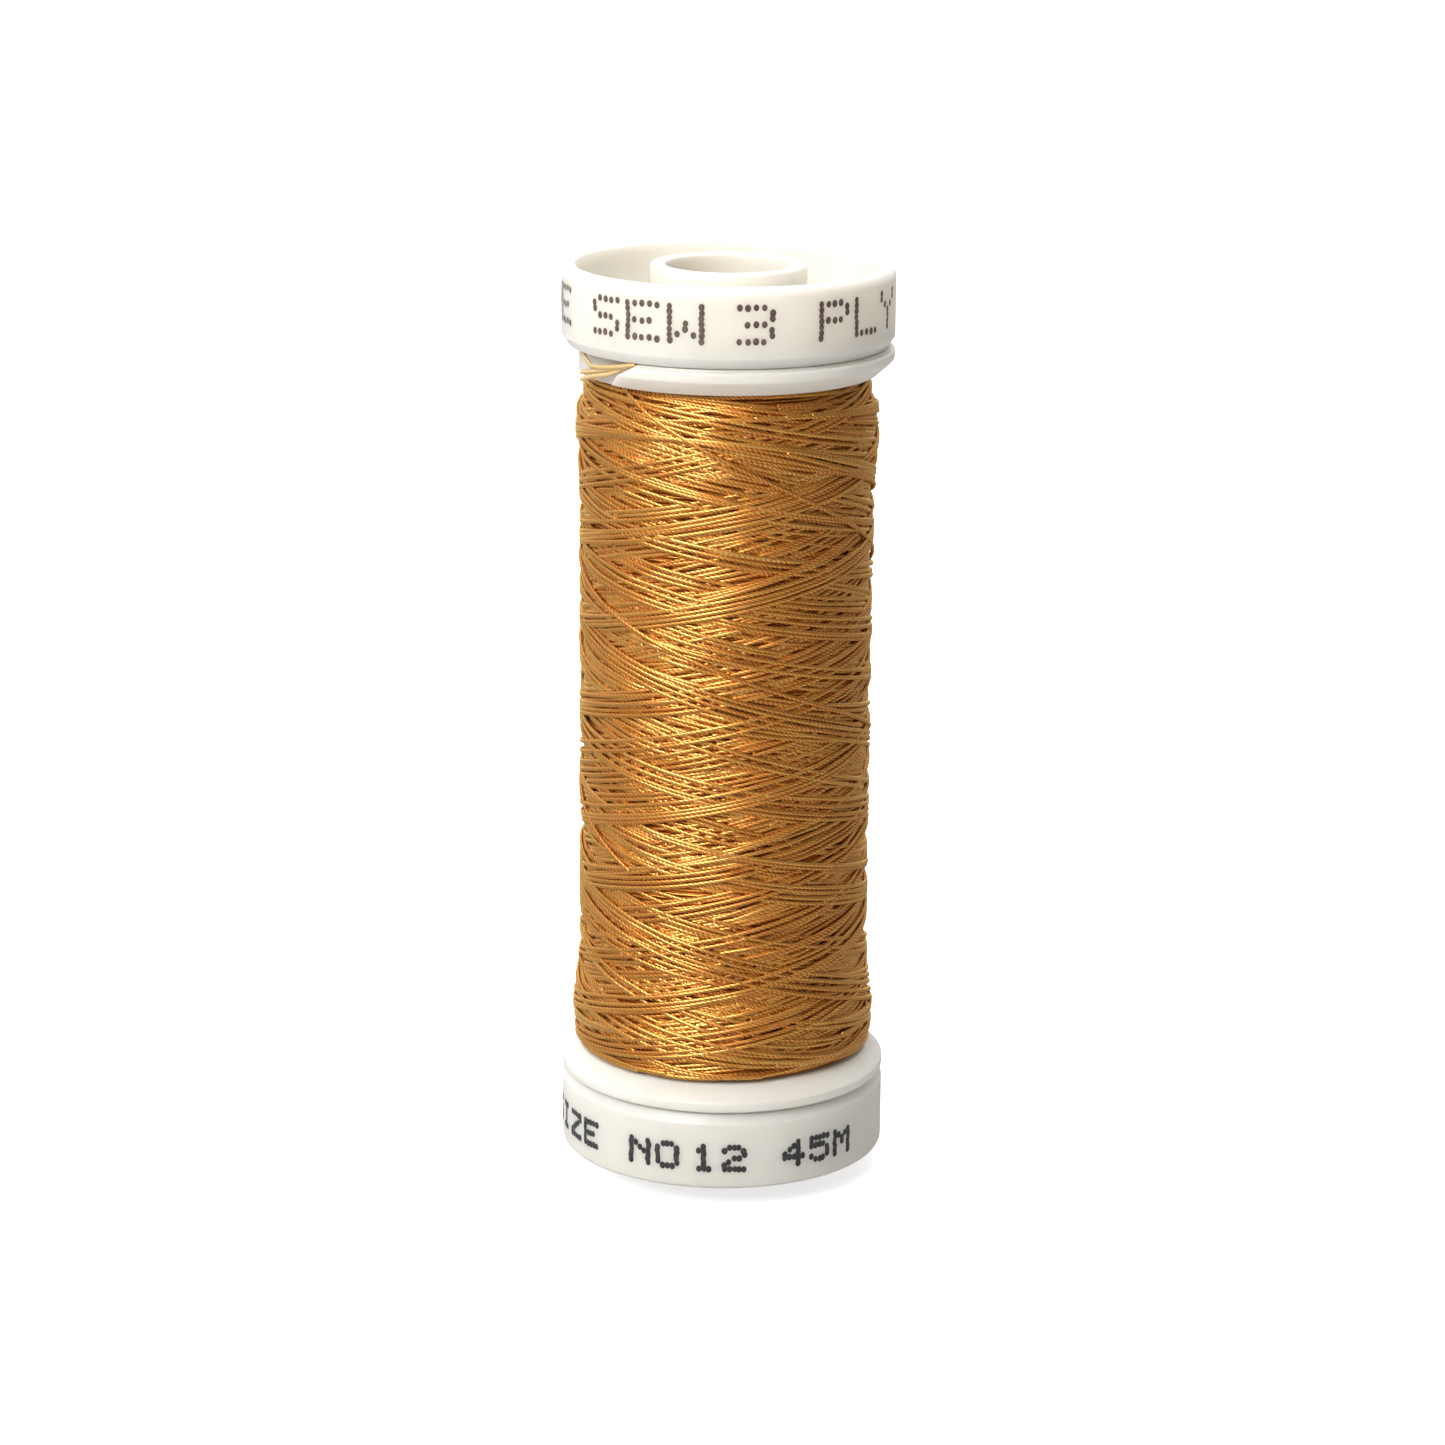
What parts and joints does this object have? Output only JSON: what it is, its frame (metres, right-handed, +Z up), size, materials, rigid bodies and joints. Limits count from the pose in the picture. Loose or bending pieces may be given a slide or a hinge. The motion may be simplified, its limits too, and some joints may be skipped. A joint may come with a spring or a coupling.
{
  "type": "snap spool of sewing thread",
  "caption": "Slim plastic snap spool wound with fine twisted thread, with cupped end caps that slide out to lock the thread end and a through bore for a spool pin.",
  "frame": {"origin": "on the spool's axis, at the lower rim of the bottom cap, which is the face it stands on", "axes": "+Z up along the spool's axis, -Y towards the viewer, -X to the side with the thread notch"},
  "size_m": [0.02, 0.02, 0.0551],
  "materials": {
    "white_plastic": "smooth moulded plastic, slightly warm white, with a soft sheen",
    "silk_thread": "fine three-ply twisted silk thread, old gold, with a bright sheen across the strands"
  },
  "bodies": {
    "wound_core": {"spool_core": "white_plastic", "thread_winding": "silk_thread", "thread_tail": "silk_thread"},
    "top_cap": {"top_cap": "white_plastic"},
    "bottom_cap": {"bottom_cap": "white_plastic"}
  },
  "joints": [
    {"name": "top_cap_slide", "type": "slide", "parent": "wound_core", "child": "top_cap", "axis": [0, 0, 1], "range_m": [0, 0.0015]},
    {"name": "bottom_cap_slide", "type": "slide", "parent": "wound_core", "child": "bottom_cap", "axis": [0, 0, -1], "range_m": [0, 0.0015]}
  ]
}
